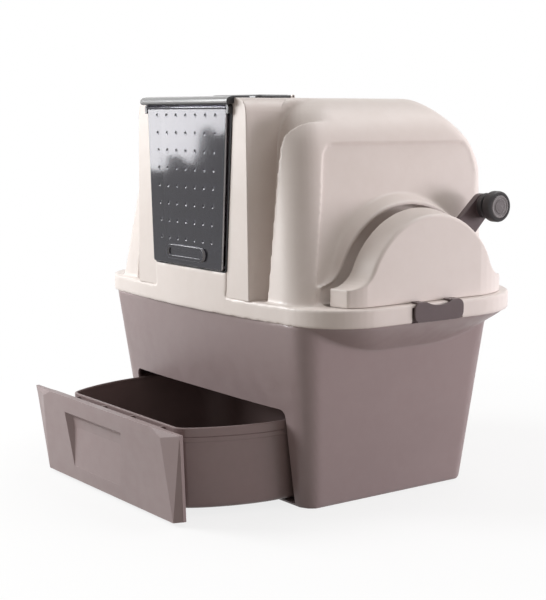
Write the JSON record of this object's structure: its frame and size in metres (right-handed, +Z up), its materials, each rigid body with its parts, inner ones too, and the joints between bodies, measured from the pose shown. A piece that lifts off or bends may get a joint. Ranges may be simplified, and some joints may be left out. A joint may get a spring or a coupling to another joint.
{
  "type": "hooded drawer litter box",
  "caption": "Hooded cat litter box with a swing door, a lever that turns the sifting pan, and a pull-out waste drawer.",
  "frame": {"origin": "on the floor under the middle of the base, in the plane that mirrors the base left to right", "axes": "+X towards the side with the lever, -Y towards the front with the door and drawer, +Z up"},
  "size_m": [0.673, 0.631, 0.6158],
  "materials": {
    "cream_plastic": "satin warm white",
    "taupe_plastic": "satin taupe",
    "dark_plastic": "satin dark taupe",
    "smoke_plastic": "glossy smoke grey",
    "smoke_clear": "clear smoked plastic",
    "black_plastic": "satin black",
    "black_rubber": "soft black",
    "grey_plastic": "satin mid grey",
    "steel": "zinc plated",
    "carbon_felt": "black felt"
  },
  "bodies": {
    "base": {"base_tub": "taupe_plastic", "bearing_left": "black_plastic", "bearing_right": "black_plastic", "latch_pins": "steel", "hood": "cream_plastic", "lever_cover": "cream_plastic", "cover_screws": "steel", "door_frame": "smoke_plastic", "carbon_filter": "carbon_felt"},
    "drawer": {"waste_bin": "taupe_plastic", "liner_frame": "taupe_plastic", "drawer_front": "taupe_plastic"},
    "door": {"entry_door": "smoke_clear"},
    "filter_lid": {"filter_cover": "smoke_plastic"},
    "drum": {"litter_pan": "taupe_plastic", "sifting_grid": "dark_plastic", "grid_screws": "steel", "pan_hub": "dark_plastic", "drive_shaft": "dark_plastic", "shaft_clip": "steel", "lever_arm": "dark_plastic", "lever_screw": "steel", "lever_grip": "black_rubber", "grip_cap": "grey_plastic", "grip_plug": "grey_plastic"},
    "latch_l": {"latch_left": "taupe_plastic"},
    "latch_r": {"latch_right": "taupe_plastic"}
  },
  "joints": [
    {"name": "drawer_slide", "type": "slide", "parent": "base", "child": "drawer", "axis": [0, -1, 0], "range_m": [-0.173, 0.11]},
    {"name": "lever_turn", "type": "hinge", "parent": "base", "child": "drum", "pos_m": [0, -0.006, 0.31], "axis": [1, 0, 0], "range_deg": [0, 120]},
    {"name": "door_swing", "type": "hinge", "parent": "base", "child": "door", "pos_m": [0, -0.2395, 0.5955], "axis": [1, 0, 0], "range_deg": [-75, 75]},
    {"name": "filter_lid_hinge", "type": "hinge", "parent": "base", "child": "filter_lid", "pos_m": [0, -0.086, 0.613], "axis": [-1, 0, 0], "range_deg": [0, 100]},
    {"name": "latch_right_pivot", "type": "hinge", "parent": "base", "child": "latch_r", "pos_m": [0.3295, -0.012, 0.286], "axis": [0, 1, 0], "range_deg": [0, 55]},
    {"name": "latch_left_pivot", "type": "hinge", "parent": "base", "child": "latch_l", "pos_m": [-0.3295, -0.012, 0.286], "axis": [0, -1, 0], "range_deg": [0, 55]}
  ]
}
